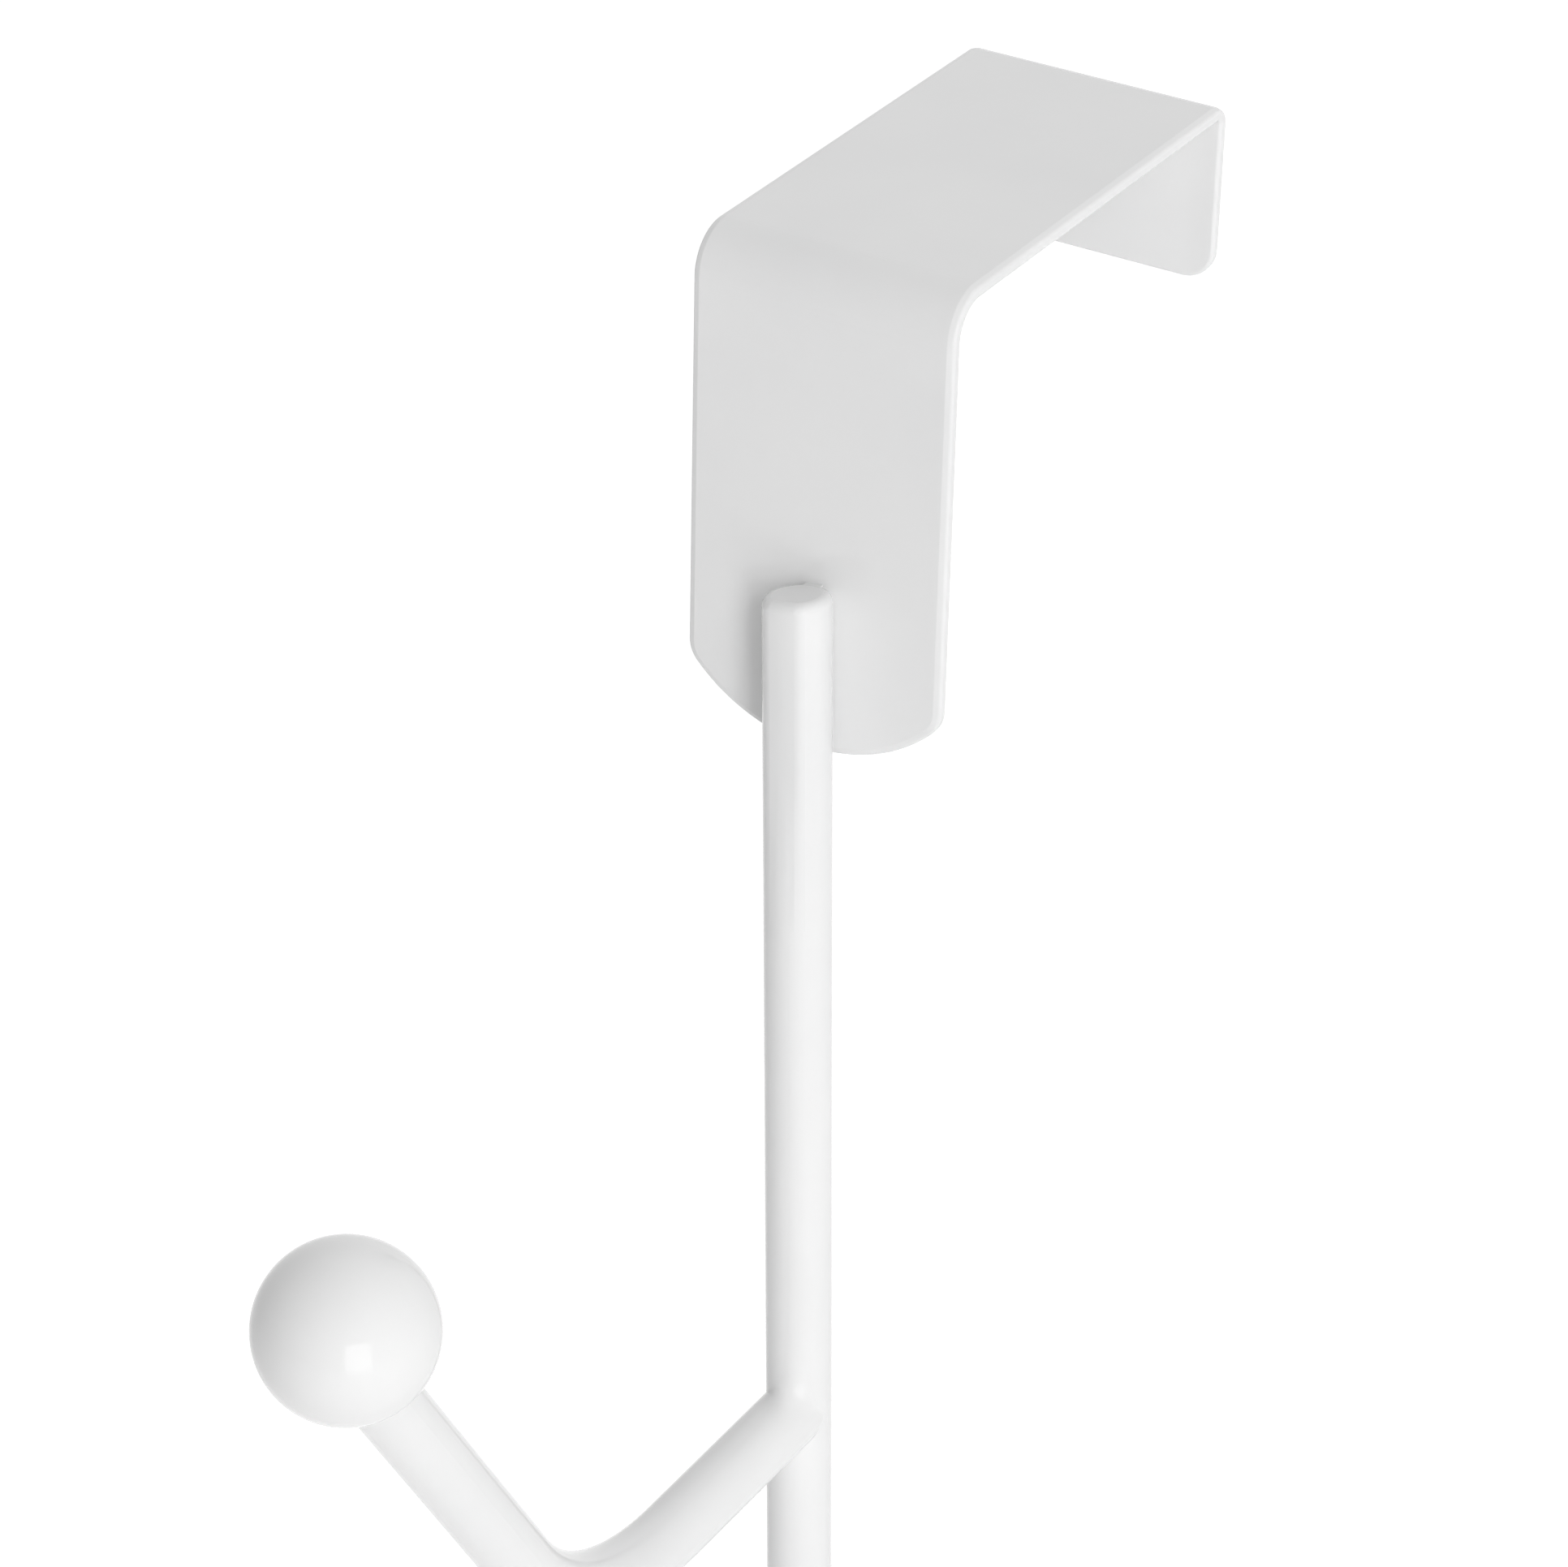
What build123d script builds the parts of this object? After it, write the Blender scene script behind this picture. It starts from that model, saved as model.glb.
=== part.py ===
from build123d import *
import math
import os

# Over door hook in painted steel: a strap folded over the door, a stem rod welded to the strap's front,
# an arm of the same rod welded to the stem, and a ball on the arm's end.
# Millimetres, Z up, X along the door and -Y out into the room.
# The origin is the middle of the face that rests on the door's top edge.

# Strap
STRAP_WIDTH = 25.0
STRAP_THICKNESS = 1.2
DOOR_GAP = 46.0  # clear space between the front plate and the back lip
FRONT_DROP = 44.4  # from the door's top edge to the lowest point of the front plate
LIP_DROP = 15.75  # from the door's top edge to the end of the back lip
FRONT_BEND_INSIDE = 3.0
BACK_BEND_INSIDE = 0.7
FRONT_END_SAG = 5.9  # how far the front plate's round end bows below its two corners
FRONT_CORNER_RADIUS = 3.0
LIP_CORNER_RADIUS = 3.0
STRAP_ROLL_WIDTH = 0.65  # the outer face slopes over this width along its rim, where the die pulled it in
STRAP_ROLL_DEPTH = 0.2
STRAP_EDGE_RADIUS = 0.35

# Rod that the stem and the arm are made of
ROD_DIAMETER = 6.0
ROD_END_RADIUS = 0.9

# Stem
STEM_TOP_DROP = 28.0  # from the door's top edge down to the middle of the stem's upper end
STEM_LENGTH = 110.0
STEM_LEAN = 1.55  # degrees off plumb, across the door, as it was welded
STEM_SET_DOWN = 0.15  # how far welding pressed the stem's side flat against the strap
STEM_CUT_TILT = 8.0  # degrees that the upper end is cut off square, lower on the left
STEM_CUT_PITCH = 5.0  # degrees that it is cut lower at the back
STEM_CUT_EDGE = 0.8  # rounding of its rim
STEM_BRIDGE_WIDTH = 1.7  # weld metal that fills the rounding where that end meets the strap
STEM_BRIDGE_DROP = 0.02  # how far the weld metal lies below the end
STEM_PRESS_DEPTH = 0.3  # how far the welding electrode pressed in the stem's front
STEM_PRESS_RADIUS = 7.5  # of that pressed front, across the stem
STEM_PRESS_CORNER = 1.6  # rounding at the pressed front's two sides
STEM_PRESS_RUN_OUT = 15.0  # length over which the pressed front turns round again at its lower end

# Arm
ARM_DROP = 111.9  # from the door's top edge down to the arm's straight part
ARM_STRAIGHT = 21.8  # from the stem's axis out to the start of the bend
ARM_BEND_RADIUS = 29.5
ARM_RISE_ANGLE = 56.6  # degrees above level
ARM_RISE_LENGTH = 45.4  # from the end of the bend to the ball's middle
ARM_PRESS_SHARE = 0.78  # share of the rod's radius that the arm's cut end is pressed into the stem

# Ball
BALL_DIAMETER = 15.0
BALL_OFFSET = 1.25  # how far off the rod's axis the ball was welded, to the hook's inside

# Values that follow from the sizes above
half_width = STRAP_WIDTH / 2
half_gap = DOOR_GAP / 2
front_face = -half_gap - STRAP_THICKNESS
back_face = half_gap + STRAP_THICKNESS
rod_radius = ROD_DIAMETER / 2
stem_axis = front_face - rod_radius + STEM_SET_DOWN
arm_offset = (ARM_DROP - STEM_TOP_DROP) * math.tan(math.radians(STEM_LEAN))
roll_depth = min(STRAP_ROLL_DEPTH, 0.2 * STRAP_THICKNESS)
edge_radius = min(STRAP_EDGE_RADIUS, 0.3 * STRAP_THICKNESS)
end_radius = min(ROD_END_RADIUS, 0.4 * rod_radius)
press_length = FRONT_DROP - STEM_TOP_DROP


def nearest(face, x, y):
    """The corner of a flat face that lies nearest to a point of its plane."""
    return face.vertices().sort_by_distance(Vector(x, y, 0))[0]


def strap_side():
    """The folded strip seen from its edge, drawn with Y to the right and Z up."""
    corners = [
        (front_face, -FRONT_DROP),
        (front_face, STRAP_THICKNESS),
        (back_face, STRAP_THICKNESS),
        (back_face, -LIP_DROP),
        (half_gap, -LIP_DROP),
        (half_gap, 0),
        (-half_gap, 0),
        (-half_gap, -FRONT_DROP),
    ]
    side = make_face(Polyline(*corners, close=True)).face()
    bends = [
        (front_face, STRAP_THICKNESS, FRONT_BEND_INSIDE + STRAP_THICKNESS),
        (-half_gap, 0, FRONT_BEND_INSIDE),
        (back_face, STRAP_THICKNESS, BACK_BEND_INSIDE + STRAP_THICKNESS),
        (half_gap, 0, BACK_BEND_INSIDE),
    ]
    for y, z, radius in bends:
        side = side.fillet_2d(radius, [nearest(side, y, z)])
    return side


def strap_front():
    """The outline of the strip seen from the room, with its round lower end."""
    corner_height = FRONT_END_SAG - FRONT_DROP
    left = (-half_width, corner_height)
    right = (half_width, corner_height)
    round_end = ThreePointArc(left, (0, -FRONT_DROP), right)
    sides = Polyline(right, (half_width, STRAP_THICKNESS), (-half_width, STRAP_THICKNESS), left)
    outline = make_face(round_end + sides).face()
    return outline.fillet_2d(FRONT_CORNER_RADIUS, [nearest(outline, *left), nearest(outline, *right)])


def on_rim(edge):
    """True for an edge round the strip's rim, false for a bend line and for an edge through the thickness."""
    direction = edge.tangent_at(0.5)
    bend_line = abs(direction.X) > 0.999 and edge.length > STRAP_WIDTH - 0.01
    through = abs(direction.Y) > 0.999 and abs(edge.length - STRAP_THICKNESS) < 0.01
    return not bend_line and not through


def door_strap():
    """The strip folded over the door, with rounded ends and softened edges."""
    folded = extrude(Plane.YZ * strap_side(), half_width, both=True)
    seen_from_room = extrude(Plane.XZ * strap_front(), 2 * back_face, both=True)
    strap = folded & seen_from_room
    lip_corners = strap.edges().filter_by(Axis.Y).filter_by_position(Axis.Y, half_gap, back_face)
    strap = fillet(lip_corners, LIP_CORNER_RADIUS)
    plate = strap.faces().filter_by(Axis.Y).sort_by(Axis.Y)[0]
    side_edge = plate.edges().sort_by(Axis.X)[-1]
    strap = chamfer(side_edge, STRAP_ROLL_WIDTH, roll_depth, reference=plate)
    return fillet([edge for edge in strap.edges() if on_rim(edge)], edge_radius)


def pressed_section():
    """The stem's section where the welding electrode pressed it, seen from above with its front towards -Y."""
    front = STEM_PRESS_DEPTH - rod_radius
    middle = front + STEM_PRESS_RADIUS
    y = (rod_radius**2 - STEM_PRESS_RADIUS**2 + middle**2) / (2 * middle)
    x = math.sqrt(rod_radius**2 - y**2)
    pressed = ThreePointArc((-x, y), (0, front), (x, y))
    right = ThreePointArc((x, y), (rod_radius, 0), (0, rod_radius))
    left = ThreePointArc((0, rod_radius), (-rod_radius, 0), (-x, y))
    section = make_face([pressed, right, left]).face()
    return section.fillet_2d(STEM_PRESS_CORNER, section.vertices().sort_by(Axis.Y)[:2])


def round_section(section):
    """The round rod's section, made of as many arcs as the pressed one."""

    def on_rod(edge, share):
        return (edge @ share).normalized() * rod_radius

    arcs = [ThreePointArc(on_rod(edge, 0), on_rod(edge, 0.5), on_rod(edge, 1)) for edge in section.edges()]
    return make_face(arcs).face()


def cut_rod():
    """The stem's rod hanging from the origin, pressed in at its front, with its ends cut off and rounded."""
    section = pressed_section()
    plain = round_section(section)
    run_out_end = press_length + STEM_PRESS_RUN_OUT
    beyond = Box(STEM_LENGTH, STEM_LENGTH, STEM_LENGTH, align=(Align.CENTER, Align.CENTER, Align.MIN))
    cut_off = Rot(-STEM_CUT_PITCH, -STEM_CUT_TILT, 0) * beyond
    pressed = Pos(0, 0, -press_length) * extrude(section, press_length + ROD_DIAMETER) - cut_off
    pressed = fillet(pressed.faces().sort_by(Axis.Z)[-1].edges(), STEM_CUT_EDGE)
    run_out = loft([Pos(0, 0, -run_out_end) * plain, Pos(0, 0, -press_length) * section], ruled=True)
    # The plain rod's seam is turned to the back.
    lower = Pos(0, 0, -STEM_LENGTH) * Rot(0, 0, 90) * extrude(Circle(rod_radius), STEM_LENGTH - run_out_end)
    lower = fillet(lower.faces().sort_by(Axis.Z)[0].edges(), end_radius)
    bridge = Box(STEM_BRIDGE_WIDTH, ROD_DIAMETER, ROD_DIAMETER, align=(Align.CENTER, Align.MIN, Align.CENTER))
    return pressed + run_out + lower + (bridge - Pos(0, 0, -STEM_BRIDGE_DROP) * cut_off)


def stem_rod():
    """The straight rod, flat where it is welded to the strap."""
    rod = Pos(0, stem_axis, -STEM_TOP_DROP) * Rot(0, -STEM_LEAN, 0) * cut_rod()
    behind_face = Box(2 * STRAP_WIDTH, ROD_DIAMETER, FRONT_DROP, align=(Align.CENTER, Align.MIN, Align.MIN))
    return rod - Pos(0, front_face, -FRONT_DROP) * behind_face


def arm_points():
    """The middle line of the arm: its cut end, the bend's start, middle and end, and its end inside the ball."""
    rise = math.radians(ARM_RISE_ANGLE)
    cut_end = Vector(arm_offset, stem_axis - (1 - ARM_PRESS_SHARE) * rod_radius, -ARM_DROP)
    bend_start = Vector(arm_offset, stem_axis - ARM_STRAIGHT, -ARM_DROP)

    def on_bend(angle):
        across = ARM_BEND_RADIUS * math.sin(angle)
        upward = ARM_BEND_RADIUS * (1 - math.cos(angle))
        return bend_start + Vector(0, -across, upward)

    bend_end = on_bend(rise)
    rise_end = bend_end + Vector(0, -math.cos(rise), math.sin(rise)) * ARM_RISE_LENGTH
    return cut_end, bend_start, on_bend(rise / 2), bend_end, rise_end


def ball_tip():
    """The ball on the arm's end, welded on a little off the rod's axis."""
    rise = math.radians(ARM_RISE_ANGLE)
    inward = Vector(0, math.sin(rise), math.cos(rise))
    return Pos(arm_points()[-1] + inward * BALL_OFFSET) * Sphere(BALL_DIAMETER / 2)


def hook_arm(ball):
    """The bent rod, shaped at one end to the stem and at the other to the ball."""
    cut_end, bend_start, bend_middle, bend_end, rise_end = arm_points()
    bend = ThreePointArc(bend_start, bend_middle, bend_end)
    path = Line(cut_end, bend_start) + bend + Line(bend_end, rise_end)
    section = Plane(cut_end, x_dir=(1, 0, 0), z_dir=(0, -1, 0)) * Circle(rod_radius)
    # A plain length of the stem's rod cuts the arm's end, with its seam at the back, away from the cut.
    stem_there = Pos(arm_offset, stem_axis, -ARM_DROP) * Rot(0, -STEM_LEAN, 0) * Rot(0, 0, 90)
    return sweep(section, path=path) - stem_there * Cylinder(rod_radius, 3 * ROD_DIAMETER) - ball


strap = door_strap()
stem = stem_rod()
ball = ball_tip()
arm = hook_arm(ball)

os.makedirs("parts", exist_ok=True)
export_step(strap, "parts/door_strap.step")
export_step(stem, "parts/stem_rod.step")
export_step(arm, "parts/hook_arm.step")
export_step(ball, "parts/ball_tip.step")
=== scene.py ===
import bmesh
import bpy
import math
from mathutils import Matrix, Vector


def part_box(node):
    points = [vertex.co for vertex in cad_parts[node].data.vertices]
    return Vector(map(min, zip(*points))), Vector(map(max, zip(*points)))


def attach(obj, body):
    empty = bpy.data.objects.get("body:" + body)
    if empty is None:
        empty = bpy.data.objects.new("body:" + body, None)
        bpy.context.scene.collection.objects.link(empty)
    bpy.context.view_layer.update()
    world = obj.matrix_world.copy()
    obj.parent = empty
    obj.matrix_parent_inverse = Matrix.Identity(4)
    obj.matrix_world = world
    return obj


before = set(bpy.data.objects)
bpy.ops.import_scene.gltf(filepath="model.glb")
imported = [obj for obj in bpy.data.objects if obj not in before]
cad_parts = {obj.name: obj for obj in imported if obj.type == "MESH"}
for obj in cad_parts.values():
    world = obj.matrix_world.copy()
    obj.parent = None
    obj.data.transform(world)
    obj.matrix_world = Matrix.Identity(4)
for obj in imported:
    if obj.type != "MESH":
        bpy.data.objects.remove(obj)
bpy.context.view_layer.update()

# Sizes in metres, read from the solids
stem_low, stem_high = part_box("stem_rod")
arm_low, arm_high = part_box("hook_arm")
rod_radius = (arm_high.x - arm_low.x) / 2
stem_axis = (stem_low.y + stem_high.y) / 2
joint = Vector(((arm_low.x + arm_high.x) / 2, stem_axis, arm_low.z + rod_radius))

# How far the stem leans across the door, as in the part's source
STEM_LEAN = math.radians(1.55)

# Painted welds round the arm's end on the stem, in metres
WELD_ABOVE = (0.0005, 0.008)  # reach along the rods on the arm's left and on its right
WELD_BELOW = (0.0018, 0.0016)
WELD_LEAST = 0.02  # share of its reach that a weld keeps where the rods' sides run into each other
WELD_SINK = 0.00003  # how deep a weld's edges lie in the rods
WELD_CORE = 0.3  # how deep a weld goes on inside the metal, as a share of the rod's radius
WELD_STEPS = 24  # across a weld, from the stem to the arm
WELD_TURNS = 64  # round the arm
WELD_END = math.radians(84)  # where a weld ends, from the arm's top or bottom line
WELD_HALVINGS = 24  # in the search for a point of a weld's surface

# Paint: noise cells per metre, and depths in metres
TONE_CELLS = 55
GLOSS_CELLS = 140
WAVE_CELLS = 260
WAVE_DEPTH = 0.00001
PEEL_CELLS = 900
PEEL_DEPTH = 0.000004

# Camera that took the photograph
CAMERA_PLACE = (0.20574, -0.37975, 0.194279)
CAMERA_YAW = math.radians(30.359)
CAMERA_PITCH = math.radians(30.524)
CAMERA_ROLL = math.radians(1.336)
FOCAL_PIXELS = 6810.5
IMAGE_WIDTH = 1932
SENSOR_WIDTH = 36  # millimetres

# Studio
FLOOR_HEIGHT = -0.6
FLOOR_SIZE = 12
FLOOR_GLOW = 0.5
STUDIO_CENTRE = Vector((0, -0.06, -0.07))
SKY_BRIGHT = 0.81
SKY_DIM = 0.285
SKY_DIM_SIDE = (0, -0.94, -0.342)
SKY_FADE = 0.6  # how far the fade reaches, as the cosine of the angle to the dim side


def new_material(name):
    """An empty node material, its node tree and its output node."""
    material = bpy.data.materials.new(name)
    material.use_nodes = True
    tree = material.node_tree
    tree.nodes.clear()
    return material, tree, tree.nodes.new("ShaderNodeOutputMaterial")


def noise(tree, place, scale, detail):
    """A noise texture over the object, with its scale in cells per metre."""
    node = tree.nodes.new("ShaderNodeTexNoise")
    node.inputs["Scale"].default_value = scale
    node.inputs["Detail"].default_value = detail
    tree.links.new(place, node.inputs["Vector"])
    return node.outputs["Fac"]


def spread(tree, value, low, high):
    """A noise value stretched from its usual middle range to low and high."""
    node = tree.nodes.new("ShaderNodeMapRange")
    node.inputs["From Min"].default_value = 0.3
    node.inputs["From Max"].default_value = 0.7
    node.inputs["To Min"].default_value = low
    node.inputs["To Max"].default_value = high
    tree.links.new(value, node.inputs["Value"])
    return node.outputs["Result"]


def bump(tree, height, distance, normal=None):
    """A bump of that depth in metres, on top of another one if it is given."""
    node = tree.nodes.new("ShaderNodeBump")
    node.inputs["Strength"].default_value = 1.0
    node.inputs["Distance"].default_value = distance
    tree.links.new(height, node.inputs["Height"])
    if normal is not None:
        tree.links.new(normal, node.inputs["Normal"])
    return node.outputs["Normal"]


def white_paint():
    """Gloss white paint on steel: slightly uneven tone and gloss over a fine orange peel."""
    material, tree, output = new_material("white_enamel")
    shader = tree.nodes.new("ShaderNodeBsdfPrincipled")
    shader.inputs["IOR"].default_value = 1.5
    shader.inputs["Specular IOR Level"].default_value = 0.4
    place = tree.nodes.new("ShaderNodeTexCoord").outputs["Object"]

    tone = tree.nodes.new("ShaderNodeMix")
    tone.data_type = "RGBA"
    tone.inputs["A"].default_value = (0.845, 0.846, 0.848, 1)
    tone.inputs["B"].default_value = (0.875, 0.875, 0.874, 1)
    tree.links.new(spread(tree, noise(tree, place, TONE_CELLS, 3), 0, 1), tone.inputs["Factor"])
    tree.links.new(tone.outputs["Result"], shader.inputs["Base Color"])

    roughness = spread(tree, noise(tree, place, GLOSS_CELLS, 2), 0.04, 0.07)
    tree.links.new(roughness, shader.inputs["Roughness"])

    waves = bump(tree, noise(tree, place, WAVE_CELLS, 1), WAVE_DEPTH)
    peel = bump(tree, noise(tree, place, PEEL_CELLS, 2), PEEL_DEPTH, waves)
    tree.links.new(peel, shader.inputs["Normal"])

    tree.links.new(shader.outputs["BSDF"], output.inputs["Surface"])
    return material


def seen_directly(tree):
    """1 for rays that show the background, straight or in a reflection, and 0 for all others."""
    rays = tree.nodes.new("ShaderNodeLightPath")
    seen = rays.outputs["Is Camera Ray"]
    for ray in ("Is Glossy Ray", "Is Transmission Ray"):
        either = tree.nodes.new("ShaderNodeMath")
        either.operation = "MAXIMUM"
        tree.links.new(seen, either.inputs[0])
        tree.links.new(rays.outputs[ray], either.inputs[1])
        seen = either.outputs["Value"]
    return seen


def floor_material():
    """A pale floor that shows white behind the object and keeps its shadow."""
    material, tree, output = new_material("pale_floor")
    surface = tree.nodes.new("ShaderNodeBsdfDiffuse")
    surface.inputs["Color"].default_value = (0.85, 0.85, 0.85, 1)
    glow = tree.nodes.new("ShaderNodeEmission")
    glow.inputs["Color"].default_value = (1, 1, 1, 1)
    strength = tree.nodes.new("ShaderNodeMath")
    strength.operation = "MULTIPLY"
    strength.inputs[1].default_value = FLOOR_GLOW
    tree.links.new(seen_directly(tree), strength.inputs[0])
    tree.links.new(strength.outputs["Value"], glow.inputs["Strength"])
    total = tree.nodes.new("ShaderNodeAddShader")
    tree.links.new(surface.outputs["BSDF"], total.inputs[0])
    tree.links.new(glow.outputs["Emission"], total.inputs[1])
    tree.links.new(total.outputs["Shader"], output.inputs["Surface"])
    return material


def weld_width(across, widths):
    """A weld's reach along the rods at a place across them, from -1 on the left to 1 on the right."""
    left, right = widths
    return left + (right - left) * ((1 + across) / 2) ** 2


def weld_blend(point, widths):
    """How far a point lies outside the two rods and their weld, and which way the surface faces there."""
    stem_part = Vector((point.x, point.y, 0))
    arm_part = Vector((point.x, 0, point.z))
    from_stem = stem_part.normalized()
    from_arm = arm_part.normalized()
    stem_gap = stem_part.length - rod_radius
    arm_gap = arm_part.length - rod_radius
    across = min(1, max(-1, point.x / rod_radius))
    width = weld_width(across, widths) * max(WELD_LEAST, (1 - from_stem.dot(from_arm)) ** 2)
    share = min(1, max(0, 0.5 + 0.5 * (stem_gap - arm_gap) / width))
    outside = stem_gap * (1 - share) + arm_gap * share - width * share * (1 - share) + WELD_SINK
    # The shading turns from the stem's to the arm's only where the weld stands out of the rods.
    hidden = min(0.49, math.sqrt(WELD_SINK / width))
    shown = min(1, max(0, (share - hidden) / (1 - 2 * hidden)))
    return outside, (from_stem * (1 - shown) + from_arm * shown).normalized()


def weld_point(base, outward, widths):
    """The point of the weld's surface straight out from a point of the rods."""
    low = -4 * WELD_SINK
    high = rod_radius
    for _ in range(WELD_HALVINGS):
        middle = (low + high) / 2
        if weld_blend(base + outward * middle, widths)[0] < 0:
            low = middle
        else:
            high = middle
    return base + outward * low


def weld_row(angle, side, widths):
    """Points and shading directions across the weld at an angle round the arm, from the stem to the arm."""
    across = math.sin(angle)
    along = math.cos(angle)
    crease = Vector((across, -along, side * along)) * rod_radius
    from_stem = Vector((across, -along, 0))
    from_arm = Vector((across, 0, side * along))
    reach = weld_width(across, widths)
    points = []
    for step in range(WELD_STEPS + 1):
        share = step / WELD_STEPS
        up = max(0, 1 - 2 * share) * reach
        out = max(0, 2 * share - 1) * reach
        base = crease + Vector((0, -out, side * up))
        outward = (from_stem * (1 - share) + from_arm * share).normalized()
        points.append(weld_point(base, outward, widths))
    normals = [weld_blend(point, widths)[1] for point in points]
    depth = WELD_CORE * rod_radius
    halfway = (from_stem + from_arm).normalized()
    inside = [points[-1] - from_arm * depth, crease - halfway * depth, points[0] - from_stem * depth]
    return points + inside, normals + [from_arm, halfway, from_stem]


def weld_mesh(name, rows, place):
    """A mesh over a weld's rows, closed inside the metal and at both ends, with its shading directions."""
    turn = place.to_3x3()
    normals = [turn @ normal for _, directions in rows for normal in directions]
    mesh = bmesh.new()
    rings = [[mesh.verts.new(place @ point) for point in points] for points, _ in rows]
    count = len(rings[0])
    for near, far in zip(rings, rings[1:]):
        for i in range(count):
            j = (i + 1) % count
            mesh.faces.new((near[i], near[j], far[j], far[i]))
    first_end = len(mesh.faces)
    # Each end has one face in the stem and one in the arm.
    half = WELD_STEPS // 2
    for ring, order in ((rings[0], -1), (rings[-1], 1)):
        in_stem = ring[:half + 1] + ring[-2:]
        in_arm = ring[half:-1]
        mesh.faces.new(in_stem[::order])
        mesh.faces.new(in_arm[::order])
    mesh.normal_update()
    mesh.faces.ensure_lookup_table()
    if mesh.faces[half].normal.dot(normals[half]) < 0:
        bmesh.ops.reverse_faces(mesh, faces=mesh.faces)
    data = bpy.data.meshes.new(name)
    mesh.to_mesh(data)
    mesh.free()
    data.shade_smooth()
    shading = []
    for face in data.polygons:
        at_end = face.index >= first_end
        shading += [face.normal if at_end else normals[corner] for corner in face.vertices]
    data.normals_split_custom_set(shading)
    return data


def arm_weld(name, side, widths, material):
    """The painted weld of the arm on the stem, above the arm (side 1) or below it (side -1)."""
    angles = [WELD_END * (2 * turn / WELD_TURNS - 1) for turn in range(WELD_TURNS + 1)]
    rows = [weld_row(angle, side, widths) for angle in angles]
    data = weld_mesh(name, rows, Matrix.Translation(joint) @ Matrix.Rotation(-STEM_LEAN, 4, "Y"))
    data.materials.append(material)
    piece = bpy.data.objects.new(name, data)
    bpy.context.collection.objects.link(piece)
    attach(piece, "root")


def add_floor():
    """The floor, well below the object."""
    half = FLOOR_SIZE / 2
    corners = [(-half, -half, 0), (half, -half, 0), (half, half, 0), (-half, half, 0)]
    data = bpy.data.meshes.new("floor")
    data.from_pydata(corners, [], [(0, 1, 2, 3)])
    data.materials.append(floor_material())
    floor = bpy.data.objects.new("floor", data)
    floor.location = (0, 0, FLOOR_HEIGHT)
    bpy.context.collection.objects.link(floor)


def around(azimuth, elevation, distance):
    """A place seen from the studio's centre: degrees to the right of straight out from the door, and up."""
    a = math.radians(azimuth)
    e = math.radians(elevation)
    step = Vector((math.cos(e) * math.sin(a), -math.cos(e) * math.cos(a), math.sin(e)))
    return STUDIO_CENTRE + step * distance


def softbox(name, place, width, height, radiance):
    """A rectangular soft light that faces the studio's centre, with that radiance, where 1 is white."""
    lamp = bpy.data.lights.new(name, "AREA")
    lamp.shape = "RECTANGLE"
    lamp.size = width
    lamp.size_y = height
    lamp.energy = radiance * math.pi * width * height
    light = bpy.data.objects.new(name, lamp)
    light.location = place
    light.rotation_euler = (STUDIO_CENTRE - place).to_track_quat("-Z", "Y").to_euler()
    bpy.context.collection.objects.link(light)
    return light


def add_lights():
    """Three soft lights on the right that don't show in the gloss, and a pane that shows only there."""
    lights = [
        softbox("window", around(46, 18, 2.5), width=0.6, height=2.0, radiance=7.4),
        softbox("overhead", around(62, 46, 2.5), width=2.0, height=1.25, radiance=1.2),
        softbox("bounce", around(40, -20, 1.2), width=1.5, height=0.2, radiance=0.85),
    ]
    for light in lights:
        light.visible_glossy = False
    pane = softbox("pane", around(48, 3, 1.5), width=0.8, height=0.85, radiance=2.0)
    pane.visible_diffuse = False


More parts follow.
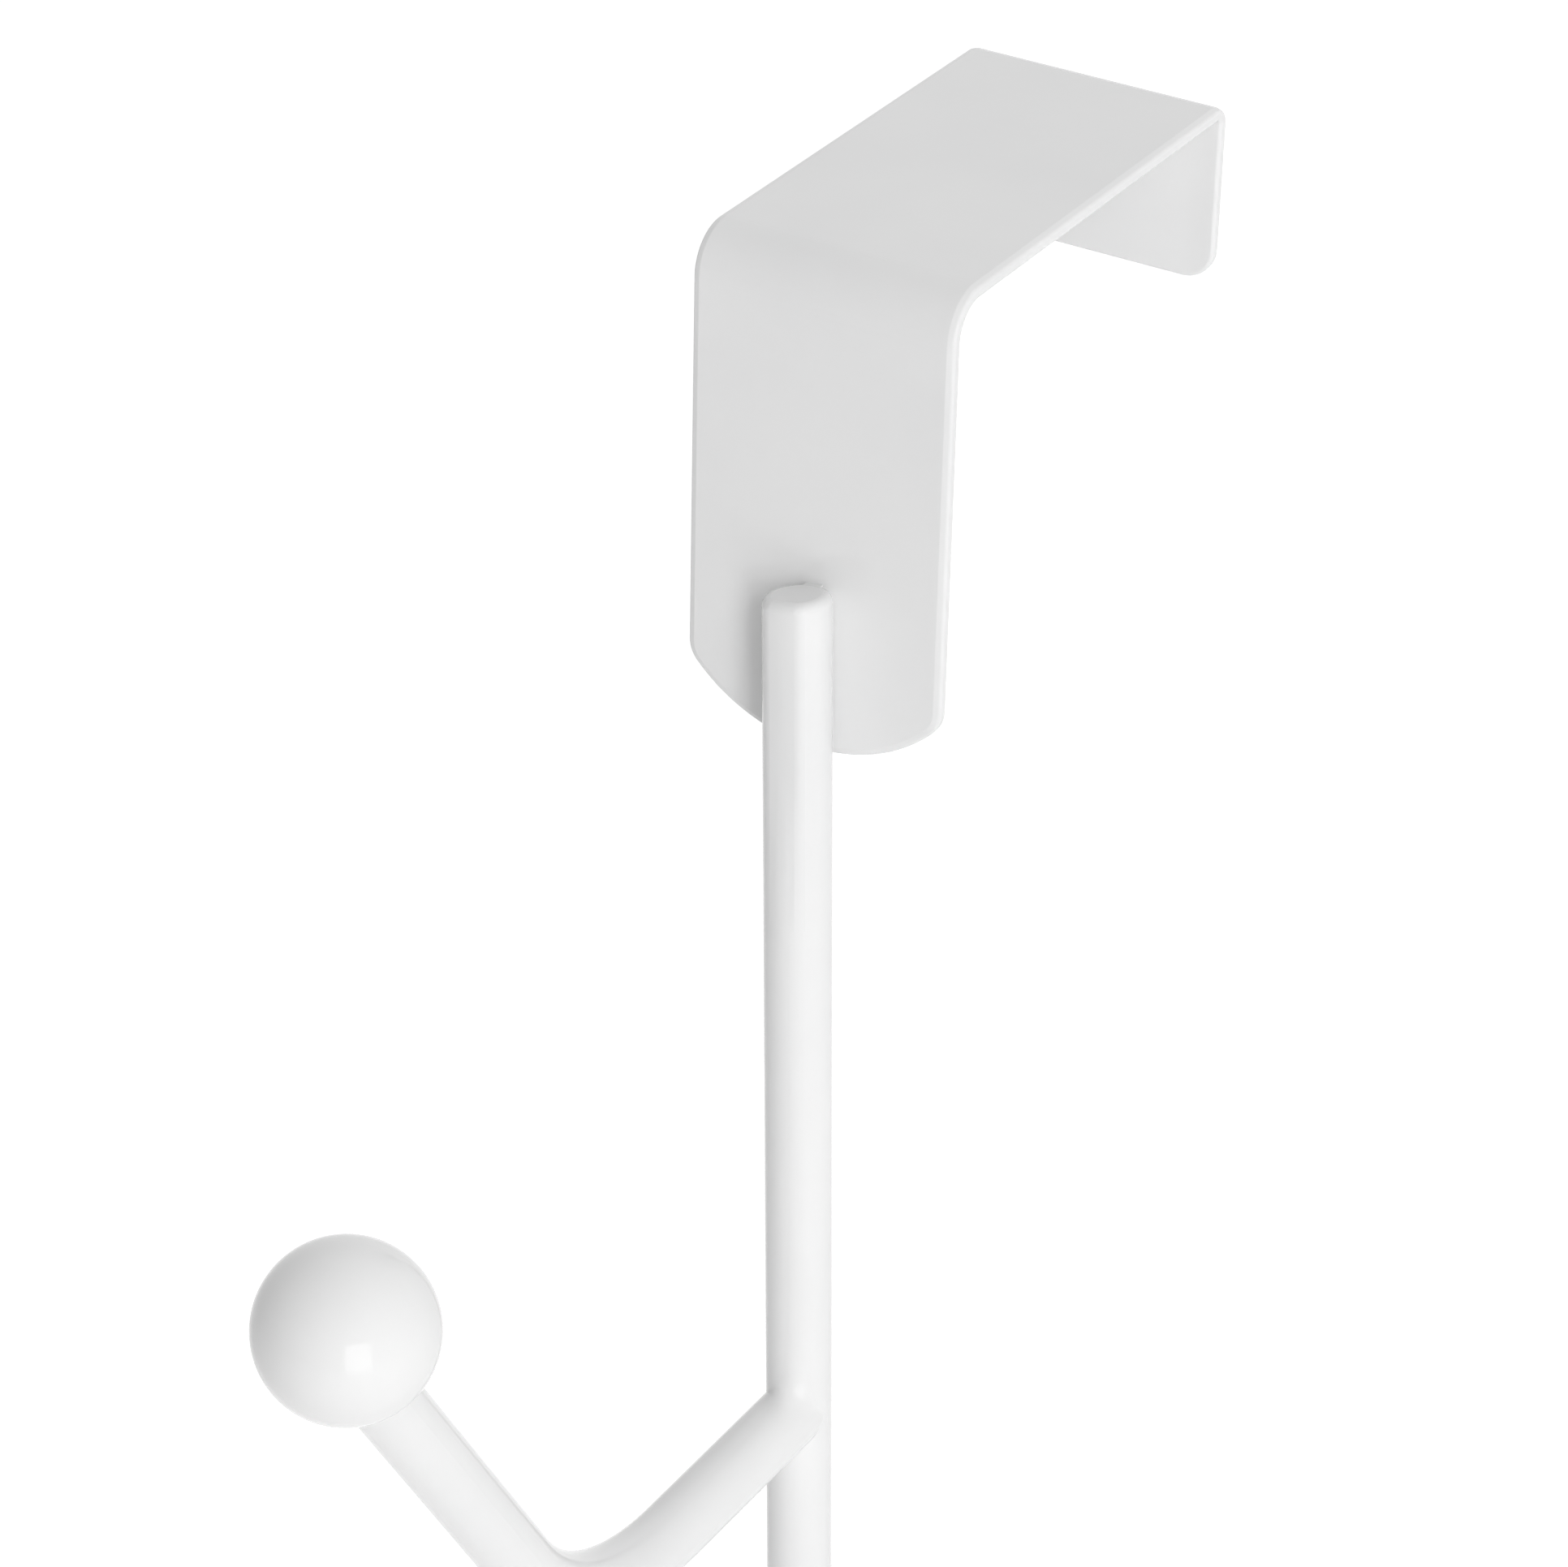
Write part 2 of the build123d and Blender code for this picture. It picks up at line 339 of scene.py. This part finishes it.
def add_camera():
    """The camera of the photograph."""
    data = bpy.data.cameras.new("camera")
    data.sensor_width = SENSOR_WIDTH
    data.sensor_fit = "HORIZONTAL"
    data.lens = FOCAL_PIXELS / IMAGE_WIDTH * SENSOR_WIDTH
    data.clip_start = 0.01
    data.clip_end = 50
    camera = bpy.data.objects.new("camera", data)
    turn = Matrix.Rotation(CAMERA_YAW, 4, "Z") @ Matrix.Rotation(math.pi / 2 - CAMERA_PITCH, 4, "X")
    camera.matrix_world = Matrix.Translation(CAMERA_PLACE) @ turn @ Matrix.Rotation(CAMERA_ROLL, 4, "Z")
    bpy.context.collection.objects.link(camera)
    bpy.context.scene.camera = camera


def add_sky():
    """Even light from above and behind that dims towards the low front, and a white background."""
    world = bpy.data.worlds.new("studio")
    world.use_nodes = True
    tree = world.node_tree
    background = tree.nodes["Background"]
    background.inputs["Color"].default_value = (1, 1, 1, 1)
    facing = tree.nodes.new("ShaderNodeVectorMath")
    facing.operation = "DOT_PRODUCT"
    facing.inputs[1].default_value = SKY_DIM_SIDE
    tree.links.new(tree.nodes.new("ShaderNodeTexCoord").outputs["Generated"], facing.inputs[0])
    fade = tree.nodes.new("ShaderNodeMapRange")
    fade.interpolation_type = "SMOOTHSTEP"
    fade.inputs["From Min"].default_value = -SKY_FADE
    fade.inputs["From Max"].default_value = 0.0
    fade.inputs["To Min"].default_value = SKY_BRIGHT
    fade.inputs["To Max"].default_value = SKY_DIM
    tree.links.new(facing.outputs["Value"], fade.inputs["Value"])
    strength = tree.nodes.new("ShaderNodeMath")
    strength.operation = "MAXIMUM"
    tree.links.new(fade.outputs["Result"], strength.inputs[0])
    tree.links.new(seen_directly(tree), strength.inputs[1])
    tree.links.new(strength.outputs["Value"], background.inputs["Strength"])
    bpy.context.scene.world = world


paint = white_paint()
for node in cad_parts.values():
    node.data.materials.clear()
    node.data.materials.append(paint)
arm_weld("weld_above_arm", 1, WELD_ABOVE, paint)
arm_weld("weld_below_arm", -1, WELD_BELOW, paint)
add_camera()
add_floor()
add_sky()
add_lights()
bpy.context.scene.view_settings.view_transform = "Standard"
